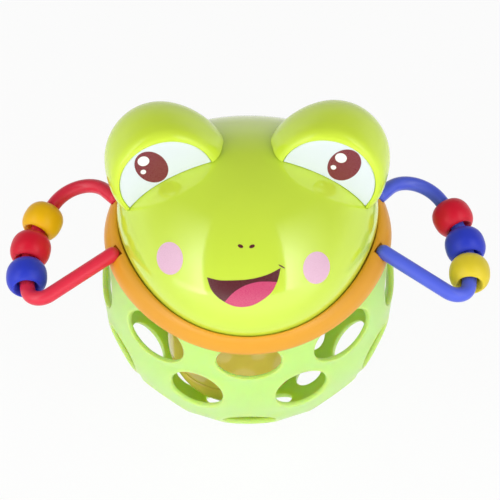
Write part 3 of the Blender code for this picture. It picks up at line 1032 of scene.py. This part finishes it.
@dataclass
class FacePrint:
    """Mouth, tongue, nostrils and cheeks, printed on the dome along the direction that looks at the face."""

    look_up: float = 52.0
    lip: tuple[Pair, ...] = (
        (-12.14, 0.72),
        (-8.88, -0.1),
        (-4.29, -0.25),
        (0.81, 0.11),
        (6.1, 1.54),
        (9.57, 3.28),
    )
    jaw: tuple[Pair, ...] = (
        (9.57, 3.28),
        (8.44, -0.83),
        (6.94, -3.63),
        (4.28, -5.95),
        (0.75, -7.71),
        (-2.02, -8.08),
        (-4.36, -7.77),
        (-7.0, -6.57),
        (-9.08, -5.09),
        (-10.98, -2.73),
        (-12.14, 0.72),
    )
    jaw_at_tongue: tuple[int, int] = (1, 7)
    tongue: tuple[Pair, ...] = (
        (-7.0, -6.57),
        (-4.32, -3.8),
        (-1.26, -1.92),
        (2.76, -0.78),
        (6.08, -0.69),
        (8.44, -0.83),
    )
    mouth_centre: Pair = (-1.5, -3.5)
    tongue_centre: Pair = (1.5, -4.5)
    # Middle, half width, half height and tilt
    cheeks: tuple[tuple[Pair, float, float, float], ...] = (
        ((-23.45, 6.51), 4.07, 4.94, 10.0),
        ((20.36, 3.32), 4.08, 4.83, -12.0),
    )
    nostrils: tuple[tuple[Pair, float, float, float], ...] = (
        ((-2.2, 9.8), 0.85, 0.5, -22.0),
        ((1.19, 9.71), 0.85, 0.5, 22.0),
    )
    dimple: tuple[Pair, float, float, float] = ((9.88, 3.72), 1.12, 0.2, -30.0)
    spans: int = 8
    small_rings: int = 3
    # Halvings of the way to the dome, and step for its slope
    halvings: int = 46
    nudge: float = 0.01

    def on_dome(self, across: float, along: float, height: float) -> Vector:
        """Point in metres over the dome, seen along the direction of the print.

        Args:
            across: Print coordinate to the viewer's right.
            along: Print coordinate up the face.
            height: Height over the dome.

        Returns:
            The point.
        """
        tilt = math.radians(self.look_up)
        upward = Vector((0.0, math.sin(tilt), math.cos(tilt)))
        outward = Vector((0.0, -math.cos(tilt), math.sin(tilt)))
        start = Vector((across, 0.0, 0.0)) + upward * along
        near, far = 0.0, 2.0 * GAUGE.ball_radius
        for _ in range(self.halvings):
            middle = 0.5 * (near + far)
            if self.beyond(start + outward * middle) > 0.0:
                far = middle
            else:
                near = middle
        spot = start + outward * far
        steps = Matrix.Identity(3) * self.nudge
        normal = Vector([self.beyond(spot + s) - self.beyond(spot - s) for s in steps]).normalized()
        return (spot + normal * height + UP * GAUGE.centre_z) * MM

    def beyond(self, spot: Vector) -> float:
        """Measures how far a point is outside the dome.

        Args:
            spot: Point in millimetres from the centre of the ball.

        Returns:
            0 on the dome, more outside it and less inside it.
        """
        reach = GAUGE.outline(GAUGE.head_series, math.atan2(spot.x, -spot.y))
        rise = max(0.0, spot.z - GAUGE.head_equator) / GAUGE.head_height
        return math.hypot(spot.x, spot.y) ** 2 / reach**2 + rise**2 - 1.0

    def build(self) -> None:
        """Prints the face and hands each film over."""
        lip = smooth(self.lip, self.spans)
        jaw = smooth(self.jaw, self.spans)
        mouth = lip[:-1] + jaw[:-1]
        first, last = (self.spans * k for k in self.jaw_at_tongue)
        tongue = smooth(self.tongue, self.spans)[:-1] + jaw[first:last]
        spot, small = self.dimple[0], self.small_rings
        films = [
            film("print_mouth", mouth, self.mouth_centre, self.on_dome, FILM_TOP, MOUTH_INK),
            film("print_tongue", tongue, self.tongue_centre, self.on_dome, FILM_OVER, PINK_INK),
            film("print_dimple", ellipse(*self.dimple), spot, self.on_dome, FILM_TOP, MOUTH_INK, small),
        ]
        for side, spec in zip(Side, self.cheeks):
            name = f"print_cheek_{side.word}"
            films.append(film(name, ellipse(*spec), spec[0], self.on_dome, FILM_TOP, BLUSH_INK))
        for side, spec in zip(Side, self.nostrils):
            name = f"print_nostril_{side.word}"
            films.append(film(name, ellipse(*spec), spec[0], self.on_dome, FILM_TOP, MOUTH_INK, small))
        for made in films:
            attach(made, "toy")
            LOG.info("%s is printed on the dome", made.name)


# Eyes


@dataclass
class Eye:
    """One eye: a hollow hood that stands on the dome, a white face in its mouth, and a printed pupil."""

    side: Side
    radius: float = 14.9
    spacing: float = 49.2
    forward: float = 0.9
    rise: float = 50.2
    turn: float = 12.0
    tilt: float = 10.0
    wall: float = 2.0
    bulge: float = 4.0
    bulge_depth: float = 0.6
    plate: float = 1.8
    edge: float = 0.3
    # Hood from its mouth to its back, in shares of the eye's radius
    hood: tuple[Pair, ...] = (
        (1.02, 0.0),
        (1.085, -0.035),
        (1.15, -0.13),
        (1.19, -0.29),
        (1.21, -0.52),
        (1.215, -0.8),
        (1.18, -1.1),
        (1.08, -1.4),
        (0.9, -1.69),
        (0.65, -1.92),
        (0.34, -2.07),
        (0.0, -2.12),
    )
    # Inside of the hood from its back to its mouth: radius and depth in shares of the eye's radius, and how
    # far the wall moves each of them, in shares of its thickness
    lining: tuple[tuple[float, float, float, float], ...] = (
        (0.0, -2.12, 0.0, 1.0),
        (0.34, -2.06, 0.0, 1.0),
        (0.65, -1.92, -0.5, 0.8),
        (0.9, -1.69, -0.8, 0.6),
        (1.08, -1.4, -1.0, 0.3),
        (1.18, -1.1, -1.0, 0.0),
        (1.215, -0.8, -1.0, 0.0),
        (1.18, -0.3, -1.0, 0.0),
    )
    # Rounded edge of the mouth, in shares of the eye's radius
    lip: tuple[Pair, Pair] = ((1.0, -0.03), (1.006, -0.008))
    pupil_radii: Pair = (6.3, 4.7)
    pupil_lean: float = 63.0
    pupil_left: Pair = (-4.44, 6.49)
    pupil_right: Pair = (4.75, 6.75)
    glints_left: tuple[Pair, Pair] = ((-2.2, 2.7), (-2.65, -1.25))
    glints_right: tuple[Pair, Pair] = ((-1.2, 2.5), (-3.2, -1.4))
    glint_radii: Pair = (1.78, 0.85)
    steps: int = 144
    discs: int = 8
    print_points: int = 72
    print_rings: int = 5

    @property
    def place(self) -> Matrix:
        """Works out where the eye stands.

        Returns:
            Place and turn of the eye, whose own +Z looks out of the white face.
        """
        sign = self.side.value
        turn, tilt = math.radians(self.turn), math.radians(self.tilt)
        look = Vector(
            (-sign * math.sin(turn) * math.cos(tilt), -math.cos(turn) * math.cos(tilt), math.sin(tilt))
        )
        spot = Vector((sign * 0.5 * self.spacing, -self.forward, GAUGE.centre_z + self.rise)) * MM
        return Matrix.Translation(spot) @ UP.rotation_difference(look).to_matrix().to_4x4()

    def hood_mesh(self) -> bmesh.types.BMesh:
        """Turns the hollow hood and swells it towards the middle of the head.

        Returns:
            The mesh, before the head is cut out of it.
        """
        r, t = self.radius, self.wall
        outer = smooth([(a * r, b * r) for a, b in self.hood], 4)
        outer[-1].x = 0.0
        lining = [(a * r + c * t, b * r + d * t) for a, b, c, d in self.lining]
        inner = smooth([*lining, (r, -self.plate - 2.0 * GAUGE.gap)], 3)
        profile = [*outer, *inner, *((a * r, b * r) for a, b in self.lip)]
        mesh = loft(lambda azimuth: profile, self.steps, closed=True)
        sign = self.side.value
        widest = max(a for a, _ in self.hood)
        for vert in mesh.verts:
            behind = min(1.0, max(0.0, -vert.co.z / (self.bulge_depth * r * MM)))
            inward = max(0.0, -sign * vert.co.x) / (widest * r * MM)
            vert.co.x -= sign * self.bulge * MM * behind * inward**2
        return mesh

    def plate_mesh(self) -> bmesh.types.BMesh:
        """Turns the flat white face with its rounded edge.

        Returns:
            The mesh, before the head is cut out of it.
        """
        rim = self.radius - GAUGE.seam
        front, back = -GAUGE.gap, -GAUGE.gap - self.plate
        eased = 0.3 * self.edge
        corner = smooth([(rim - self.edge, front), (rim - eased, front - eased), (rim, front - self.edge)], 3)
        discs = [(rim * k / self.discs, front) for k in range(self.discs)]
        profile = [*discs, *corner, (rim, back), (0.0, back)]
        return loft(lambda azimuth: profile, self.steps)

    def on_plate(self, across: float, along: float, height: float) -> Vector:
        """Point in metres over the white face.

        Args:
            across: Distance from the middle of the eye to the viewer's right.
            along: Distance upwards.
            height: Height over the face.

        Returns:
            The point.
        """
        place = self.place
        look = place.to_3x3() @ UP
        right = UP.cross(look).normalized()
        upward = look.cross(right)
        return place.translation + (right * across + upward * along + look * (height - GAUGE.gap)) * MM

    def build(self, cutter: bpy.types.Object) -> None:
        """Builds the eye and hands its pieces over.

        Args:
            cutter: Shape of the head, which is cut out of the hood and the white face.
        """
        word = self.side.word
        for name, mesh, finish, slot in (
            ("hood", self.hood_mesh(), HOOD_LIME, "gloss_lime"),
            ("plate", self.plate_mesh(), EYE_WHITE, "eye_white"),
        ):
            piece = as_object(f"eye_{name}_{word}_skin", mesh, self.place)
            carve(piece, [cutter])
            settle(piece, finish)
            hand_over(piece, "toy", slot, f"eye_{name}_{word}")
        left = self.side is Side.LEFT
        pupil = Vector(self.pupil_left if left else self.pupil_right)
        large, small = (pupil + Vector(glint) for glint in (self.glints_left if left else self.glints_right))
        round_large, round_small = ((radius, radius) for radius in self.glint_radii)
        for name, spot, radii, lift, ink in (
            ("pupil", pupil, self.pupil_radii, FILM_TOP, BROWN_INK),
            ("glint_large", large, round_large, FILM_OVER, WHITE_INK),
            ("glint_small", small, round_small, FILM_OVER, WHITE_INK),
        ):
            outline = ellipse(spot, *radii, self.side.value * self.pupil_lean, self.print_points)
            made = film(f"print_{name}_{word}", outline, spot, self.on_plate, lift, ink, self.print_rings)
            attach(made, "toy")
            LOG.info("%s is printed on the eye", made.name)


# Bead loops


@dataclass
class BeadLoop:
    """One loop: a bent plastic wire with three beads.

    It is drawn in its own plane, +X outwards and +Y to the front.
    """

    side: Side
    wire_finish: MouldedPlastic
    wire_slot: str
    bead_finishes: dict[Seat, tuple[MouldedPlastic, str]]
    wire_radius: float = 2.35
    reach: float = 26.0
    droop: float = 14.0
    root: float = 46.0
    rise: float = 27.8
    arc_radius: float = 47.0
    arc_forward: float = 9.4
    arc_rear: float = -31.5
    arc_front: float = 14.1
    rear_bend: float = 11.0
    front_bend: float = 5.2
    rear_heading: float = 130.0
    front_heading: float = 211.8
    rear_depth: float = -2.0
    front_depth: float = -3.0
    bead_radius: float = 6.5
    bead_length: float = 9.8
    bead_clearance: float = 0.6
    bead_front: float = 7.0
    rear_slack: float = 0.7
    # Mouth of the bore from the inside out: how much wider than the bore, and how far from the bead's end
    bead_mouth: tuple[Pair, ...] = ((0.0, 2.1), (0.3, 1.3), (0.85, 0.4), (1.3, 0.0))
    # Edge of the end in shares of the radius, and how far from the bead's end
    bead_shoulder: Pair = (0.71, 0.15)
    # Flank down to the middle, in shares of the radius and of half the length
    bead_flank: tuple[Pair, Pair] = ((0.85, 0.79), (0.96, 0.48))
    # Radius at which two beads meet, in shares of the radius
    bead_meeting: float = 0.66
    bead_steps: int = 64
    bead_sharp: float = 50.0
    sides: int = 40
    arc_steps: int = 40
    bend_steps: int = 20
    # Rings of a half-round tip, in degrees from the wire to its pole
    tip_rings: tuple[float, ...] = (12.0, 26.0, 40.0, 54.0, 68.0, 80.0)
    # Length of a socket, in wire radii
    socket_length: float = 5.0

    @property
    def plane(self) -> Matrix:
        """Works out how the loop's plane lies.

        Returns:
            Turn and place of the plane, in millimetres.
        """
        droop = math.radians(self.droop)
        out = Vector((self.side.value * math.cos(droop), 0.0, -math.sin(droop)))
        front = Vector((0.0, -1.0, 0.0))
        made = Matrix((out, front, out.cross(front))).transposed().to_4x4()
        made.translation = Vector((self.side.value * self.root, 0.0, GAUGE.centre_z + self.rise))
        return made

    @property
    def pivot(self) -> Vector:
        """Centre of the arc that the beads slide on, in the loop's plane."""
        return Vector((self.reach - self.arc_radius, self.arc_forward, 0.0))

    @staticmethod
    def heading(angle: float) -> Vector:
        """Direction in the loop's plane."""
        t = math.radians(angle)
        return Vector((math.cos(t), math.sin(t), 0.0))

    def arc(self, centre: Vector, radius: float, start: float, end: float, count: int) -> list[Vector]:
        """Points along an arc in the loop's plane, both ends included."""
        angles = [start + (end - start) * k / count for k in range(count + 1)]
        return [centre + self.heading(angle) * radius for angle in angles]

    def path(self) -> list[Vector]:
        """Draws the middle of the wire.

        Returns:
            Points in the loop's plane from the rear end to the front end, without the round tips.
        """
        bend = self.bend_steps
        arc = self.arc(self.pivot, self.arc_radius, self.arc_rear, self.arc_front, self.arc_steps)
        rear_centre = arc[0] - self.heading(self.arc_rear) * self.rear_bend
        rear = self.arc(rear_centre, self.rear_bend, self.rear_heading - 270.0, self.arc_rear, bend)
        front_centre = arc[-1] - self.heading(self.arc_front) * self.front_bend
        front = self.arc(front_centre, self.front_bend, self.arc_front, self.front_heading - 90.0, bend)
        rear_way, front_way = self.heading(self.rear_heading), self.heading(self.front_heading)
        rear_end = rear[0] + rear_way * ((self.rear_depth - rear[0].x) / rear_way.x)
        front_end = front[-1] + front_way * ((self.front_depth - front[-1].x) / front_way.x)
        return [rear_end, *rear[:-1], *arc, *front[1:], front_end]

    def wire_mesh(self) -> bmesh.types.BMesh:
        """Draws the round wire along its path, with half-round tips.

        Returns:
            The mesh.
        """
        path = self.path()
        first, last = (path[0] - path[1]).normalized(), (path[-1] - path[-2]).normalized()
        tip = [math.radians(angle) for angle in self.tip_rings]
        start = [(path[0] + first * self.wire_radius * math.sin(t), math.cos(t)) for t in reversed(tip)]
        end = [(path[-1] + last * self.wire_radius * math.sin(t), math.cos(t)) for t in tip]
        stations = [*start, *((p, 1.0) for p in path), *end]
        plane = self.plane
        mesh = bmesh.new()
        rings = []
        for k, (spot, share) in enumerate(stations):
            before, after = stations[max(0, k - 1)][0], stations[min(len(stations) - 1, k + 1)][0]
            across = (after - before).normalized().cross(UP)
            ring = []
            for step in range(self.sides):
                t = 2.0 * math.pi * step / self.sides
                off = (across * math.cos(t) + UP * math.sin(t)) * self.wire_radius * share
                ring.append(mesh.verts.new(plane @ (spot + off) * MM))
            rings.append(ring)
        for here, there in zip(rings, rings[1:]):
            for step in range(self.sides):
                n = (step + 1) % self.sides
                mesh.faces.new((here[step], here[n], there[n], there[step]))
        for ring, spot, way in ((rings[0], path[0], first), (rings[-1], path[-1], last)):
            pole = mesh.verts.new(plane @ (spot + way * self.wire_radius) * MM)
            for step in range(self.sides):
                mesh.faces.new((ring[step], ring[(step + 1) % self.sides], pole))
        bmesh.ops.recalc_face_normals(mesh, faces=mesh.faces)
        return mesh

    def sockets(self) -> list[bpy.types.Object]:
        """Makes the tools that cut the holes for the two ends of the wire.

        Returns:
            The tools, for the collar.
        """
        path = self.path()
        plane = self.plane
        made = []
        for name, end, inner in (("rear", path[0], path[1]), ("front", path[-1], path[-2])):
            way = (end - inner).normalized()
            deep = plane @ (end + way * (self.wire_radius + GAUGE.gap))
            turn = UP.rotation_difference(plane.to_3x3() @ -way).to_matrix().to_4x4()
            place = Matrix.Translation(deep * MM) @ turn
            hole = rod(self.wire_radius + GAUGE.seam, self.socket_length * self.wire_radius)
            made.append(as_object(f"socket_{self.side.word}_{name}", hole, place))
        return made

    def bead_profile(self) -> list[Vector]:
        """Draws the section of a barrel bead with a hollowed mouth at both ends of its bore.

        Returns:
            Points as radius and height.
        """
        half = 0.5 * self.bead_length
        bore = self.wire_radius + self.bead_clearance
        r = self.bead_radius
        mouth = [(bore + wider, half - deep) for wider, deep in self.bead_mouth]
        shoulder = (self.bead_shoulder[0] * r, half - self.bead_shoulder[1])
        flank = [(a * r, b * half) for a, b in self.bead_flank]
        upper = [*mouth, shoulder, *flank]
        lower = [(a, -b) for a, b in reversed(upper)]
        return smooth([*upper, (r, 0.0), *lower], 4)

    def bead_angles(self) -> dict[Seat, float]:
        """Works out where the beads lie: against each other, at the front of the arc.

        Returns:
            Angle of each bead along the arc.
        """
        end_radius = self.bead_meeting * self.bead_radius
        reach = 0.5 * self.bead_length + GAUGE.gap
        step = 2.0 * math.degrees(math.atan(reach / (self.arc_radius - end_radius)))
        return {
            Seat.FRONT: self.bead_front,
            Seat.MIDDLE: self.bead_front - step,
            Seat.REAR: self.bead_front - 2.0 * step - self.rear_slack,
        }

    def build(self) -> None:
        """Builds the wire and its beads and hands them over."""
        word = self.side.word
        wire = as_object(f"bead_loop_{word}_skin", self.wire_mesh())
        settle(wire, self.wire_finish)
        hand_over(wire, "toy", self.wire_slot, f"bead_loop_{word}")
        profile = self.bead_profile()
        plane = self.plane
        turn = plane.to_3x3().to_4x4()
        for seat, angle in self.bead_angles().items():
            finish, slot = self.bead_finishes[seat]
            lie = Matrix.Rotation(math.radians(-90.0), 4, "X")
            out = Matrix.Translation(Vector((self.arc_radius, 0.0, 0.0)) * MM)
            spun = turn @ Matrix.Rotation(math.radians(angle), 4, "Z") @ out @ lie
            place = Matrix.Translation(plane @ self.pivot * MM) @ spun
            name = f"bead_{word}_{seat.value}"
            barrel = loft(lambda azimuth: profile, self.bead_steps, closed=True)
            bead = as_object(f"{name}_skin", barrel, place)
            settle(bead, finish, self.bead_sharp)
            hand_over(bead, name, slot, name)


# Rattle ball


@dataclass
class Rattle:
    """Loose ball of two cups with a seam between them, resting inside the lattice ball."""

    radius: float = 24.0
    wall: float = 1.6
    clearance: float = 0.4
    aside: float = -4.2
    forward: float = 9.5
    lip: float = 0.25
    steps: int = 96
    rows: int = 32

    @property
    def centre(self) -> Vector:
        """Works out where the ball rests on the lattice.

        Returns:
            Centre of the ball.
        """
        away = GAUGE.squash * GAUGE.ball_radius - GAUGE.wall - self.radius - self.clearance
        drop = math.sqrt(away**2 - self.aside**2 - self.forward**2)
        return Vector((self.aside, -self.forward, GAUGE.centre_z - drop))

    def cup(self, sign: float) -> bmesh.types.BMesh:
        """One cup, with its open edge eased.

        Args:
            sign: 1 for the upper cup, -1 for the lower one.

        Returns:
            The mesh.
        """
        seam = 0.5 * GAUGE.gap
        inside = self.radius - self.wall
        eased = math.degrees(self.lip / self.radius)
        outer = []
        inner = []
        for k in range(self.rows + 1):
            t = math.radians(90.0 - (90.0 - eased) * k / self.rows)
            outer.append((self.radius * math.cos(t), seam + (self.radius - seam) * math.sin(t)))
            inner.append((inside * math.cos(t), seam + (inside - seam) * math.sin(t)))
        edge = [(self.radius - 0.5 * self.lip, seam), (inside, seam)]
        profile = [(a, sign * b) for a, b in (*outer, *edge, *reversed(inner))]
        profile[0] = (0.0, profile[0][1])
        profile[-1] = (0.0, profile[-1][1])
        return loft(lambda azimuth: profile, self.steps)

    def build(self) -> None:
        """Builds both cups and hands them over."""
        place = Matrix.Translation(self.centre * MM)
        for word, sign in (("upper", 1.0), ("lower", -1.0)):
            name = f"rattle_shell_{word}"
            cup = as_object(f"{name}_skin", self.cup(sign), place)
            settle(cup, RATTLE_YELLOW)
            hand_over(cup, "rattle", "rattle_yellow", name)


# Pieces that keep their solid


@dataclass
class Fixings:
    """Hidden pieces whose solids are right as they are: base plate, screws and pellets."""

    screws: int = 4
    pellets: int = 4

    def build(self) -> None:
        """Gives each solid its finish."""
        named = {"head_base_plate": PLAIN_WHITE}
        named |= {f"plate_screw_{k + 1}": STEEL for k in range(self.screws)}
        named |= {f"rattle_pellet_{k + 1}": PLAIN_WHITE for k in range(self.pellets)}
        for name, finish in named.items():
            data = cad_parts[name].data
            data.materials.clear()
            data.materials.append(finish.material())
            LOG.info("%s keeps its solid", name)


# Studio


class Fade(Enum):
    """Edge to which the light of a box without lean dies away.

    The values are its strengths at the top and at the bottom.
    """

    NONE = (1.0, 1.0)
    BOTTOM = (1.0, 0.0)
    TOP = (0.0, 1.0)


@dataclass
class SoftBox:
    """Rectangular lamp that looks at the head.

    Its light may die away to one long edge, and past a share of its length to one end. It may lean about its
    own direction, slide along its short side, and be left out of reflections.
    """

    name: str
    azimuth: float
    elevation: float
    distance: float
    size: Pair
    radiance: float
    lean: float = 0.0
    fade: Fade = Fade.NONE
    full_length: float = 0.95
    fade_power: float = 1.8
    slide: float = 0.0
    mirrored: bool = True

    def hang(self, target: Vector) -> None:
        """Hangs the lamp.

        Args:
            target: Point in millimetres that it looks at.
        """
        a, b = math.radians(self.azimuth), math.radians(self.elevation)
        way = Vector((math.sin(a) * math.cos(b), -math.cos(a) * math.cos(b), math.sin(b)))
        lamp = bpy.data.lights.new(self.name, "AREA")
        lamp.shape = "RECTANGLE"
        lamp.size, lamp.size_y = (length * MM for length in self.size)
        lamp.energy = self.radiance * math.pi * lamp.size * lamp.size_y
        lamp.use_nodes = True
        tree = lamp.node_tree
        tree.nodes.clear()
        spot = add_node(tree, "ShaderNodeNewGeometry").outputs["Parametric"]
        part = add_node(tree, "ShaderNodeSeparateXYZ", links={0: spot})
        top, bottom = self.fade.value
        across = add_node(
            tree,
            "ShaderNodeMapRange",
            {"To Min": top, "To Max": bottom},
            {"Value": part.outputs["Y"]},
        )
        soft = add_node(
            tree,
            "ShaderNodeMath",
            {"operation": "POWER", 1: self.fade_power},
            {0: across.outputs["Result"]},
        )
        along = add_node(
            tree,
            "ShaderNodeMapRange",
            {"From Min": self.full_length, "From Max": 1.0, "To Min": 1.0, "To Max": 0.0},
            {"Value": part.outputs["X"]},
        )
        strength = add_node(
            tree,
            "ShaderNodeMath",
            {"operation": "MULTIPLY"},
            {0: soft.outputs[0], 1: along.outputs["Result"]},
        )
        glow = add_node(tree, "ShaderNodeEmission", links={"Strength": strength.outputs[0]})
        add_node(tree, "ShaderNodeOutputLight", links={"Surface": glow.outputs[0]})
        hung = bpy.data.objects.new(self.name, lamp)
        look = way.to_track_quat("Z", "Y").to_matrix().to_4x4()
        lean = Matrix.Rotation(math.radians(self.lean), 4, "Z")
        slid = Matrix.Translation(Vector((0.0, self.slide, 0.0)) * MM)
        hung.matrix_world = Matrix.Translation((target + way * self.distance) * MM) @ look @ lean @ slid
        hung.visible_glossy = self.mirrored
        bpy.context.scene.collection.objects.link(hung)


@dataclass
class Studio:
    """White paper floor, white surroundings under a dim ceiling, soft boxes and the photograph's camera."""

    # Light of the surroundings at the horizon and overhead, the height where it is least, and what the front
    # adds. Heights in the surroundings are sines of the elevation
    horizon: float = 0.78
    overhead: float = 0.05
    overhead_from: float = 0.8
    front: float = 0.3
    # What reflections see of the dim ceiling, and the heights between which the white walls turn into it
    ceiling: float = 0.15
    wall_top: float = 0.2
    ceiling_from: float = 0.6
    floor_reach: float = 3000.0
    floor_sides: int = 96
    aim: float = 75.0
    boxes: tuple[SoftBox, ...] = (
        SoftBox(
            "left_box",
            -75.0,
            42.0,
            700.0,
            (940.0, 520.0),
            4.8,
            lean=139.0,
            fade=Fade.BOTTOM,
            full_length=0.5,
            slide=125.0,
        ),
        SoftBox(
            "right_box",
            74.0,
            47.0,
            700.0,
            (820.0, 560.0),
            4.8,
            lean=41.5,
            fade=Fade.TOP,
            full_length=0.5,
            slide=-115.0,
        ),
        SoftBox("front_card", 0.0, 6.0, 190.0, (1000.0, 190.0), 1.6, fade=Fade.TOP, full_length=0.99),
        SoftBox("lens_fill", 0.0, 42.0, 600.0, (300.0, 300.0), 1.0, mirrored=False),
    )
    camera_elevation: float = 52.0
    camera_distance: float = 400.0
    # Middle and radius of the ball in the picture, and the width of the picture, in pixels
    ball_in_frame: Pair = (248.0, 279.4)
    ball_radius_in_frame: float = 147.0
    frame_size: float = 500.0
    roll: float = 0.47
    sensor: float = 36.0
    near_limit: float = 10.0

    def floor(self) -> None:
        """Lays the paper floor."""
        mesh = bmesh.new()
        bmesh.ops.create_circle(mesh, cap_ends=True, segments=self.floor_sides, radius=self.floor_reach * MM)
        floor = as_object("paper_floor", mesh)
        floor.data.materials.append(StudioPaper().material())

    def world(self) -> None:
        """Sets white surroundings that get dimmer upwards and are a little brighter in front."""
        world = bpy.data.worlds.new("white_surroundings")
        bpy.context.scene.world = world
        world.use_nodes = True
        tree = world.node_tree
        tree.nodes.clear()
        way = add_node(tree, "ShaderNodeTexCoord").outputs["Generated"]
        part = add_node(tree, "ShaderNodeSeparateXYZ", links={0: way})
        seen = add_node(
            tree,
            "ShaderNodeMapRange",
            {"From Min": self.wall_top, "From Max": self.ceiling_from, "To Min": 1.0, "To Max": self.ceiling},
            {"Value": part.outputs["Z"]},
        )
        fill = add_node(
            tree,
            "ShaderNodeMapRange",
            {"From Max": self.overhead_from, "To Min": self.horizon, "To Max": self.overhead},
            {"Value": part.outputs["Z"]},
        )
        ahead = add_node(
            tree,
            "ShaderNodeMapRange",
            {"From Max": -1.0, "To Max": self.front},
            {"Value": part.outputs["Y"]},
        )
        light = add_node(
            tree,
            "ShaderNodeMath",
            {"operation": "ADD"},
            {0: fill.outputs["Result"], 1: ahead.outputs["Result"]},
        )
        strength = add_node(
            tree,
            "ShaderNodeMix",
            {"data_type": "FLOAT"},
            {0: seen_rays(tree), 2: light.outputs[0], 3: seen.outputs["Result"]},
        )
        sky = add_node(
            tree,
            "ShaderNodeBackground",
            {"Color": linear("#FFFFFF")},
            {"Strength": strength.outputs[0]},
        )
        add_node(tree, "ShaderNodeOutputWorld", links={"Surface": sky.outputs[0]})

    def camera(self) -> None:
        """Places the camera so that the ball falls where the photograph has it."""
        tilt = math.radians(self.camera_elevation)
        away = Vector((0.0, -math.cos(tilt), math.sin(tilt)))
        reach = math.asin(GAUGE.ball_radius / self.camera_distance)
        focal = self.ball_radius_in_frame / math.tan(reach)
        ahead, right = -away, Vector((1.0, 0.0, 0.0))
        upward = right.cross(ahead)
        across, down = ((at - 0.5 * self.frame_size) / focal for at in self.ball_in_frame)
        pitch = math.atan(down)
        ahead, upward = (
            ahead * math.cos(pitch) + upward * math.sin(pitch),
            upward * math.cos(pitch) - ahead * math.sin(pitch),
        )
        yaw = math.atan(-across * math.cos(pitch))
        ahead, right = (
            ahead * math.cos(yaw) + right * math.sin(yaw),
            right * math.cos(yaw) - ahead * math.sin(yaw),
        )
        roll = math.radians(self.roll)
        right, upward = (
            right * math.cos(roll) - upward * math.sin(roll),
            upward * math.cos(roll) + right * math.sin(roll),
        )
        lens = bpy.data.cameras.new("camera")
        lens.sensor_width = self.sensor
        lens.lens = focal / self.frame_size * self.sensor
        lens.clip_start = self.near_limit * MM
        camera = bpy.data.objects.new("camera", lens)
        place = Matrix((right, upward, -ahead)).transposed().to_4x4()
        place.translation = (UP * GAUGE.centre_z + away * self.camera_distance) * MM
        camera.matrix_world = place
        bpy.context.scene.collection.objects.link(camera)
        bpy.context.scene.camera = camera

    def build(self) -> None:
        """Sets up floor, surroundings, lamps, camera and view."""
        self.floor()
        self.world()
        for box in self.boxes:
            box.hang(UP * self.aim)
        self.camera()
        bpy.context.scene.view_settings.view_transform = "Standard"


def main() -> None:
    """Builds the sub-assemblies in order and dresses them."""
    logging.basicConfig(level=logging.INFO, format="%(name)s: %(message)s")
    Studio().build()
    LatticeBall().build()
    loops = (
        BeadLoop(
            Side.LEFT,
            RED_ROD,
            "red",
            {Seat.REAR: (GOLD, "golden_yellow"), Seat.MIDDLE: (RED, "red"), Seat.FRONT: (BLUE, "blue")},
        ),
        BeadLoop(
            Side.RIGHT,
            BLUE_ROD,
            "blue",
            {Seat.REAR: (RED, "red"), Seat.MIDDLE: (BLUE, "blue"), Seat.FRONT: (LEMON, "lemon_yellow")},
        ),
    )
    Collar().build([hole for loop in loops for hole in loop.sockets()])
    head = Head()
    head.build()
    cutter = head.cutter()
    for side in Side:
        Eye(side).build(cutter)
    bpy.data.objects.remove(cutter)
    FacePrint().build()
    for loop in loops:
        loop.build()
    Rattle().build()
    Fixings().build()


if __name__ == "__main__":
    main()
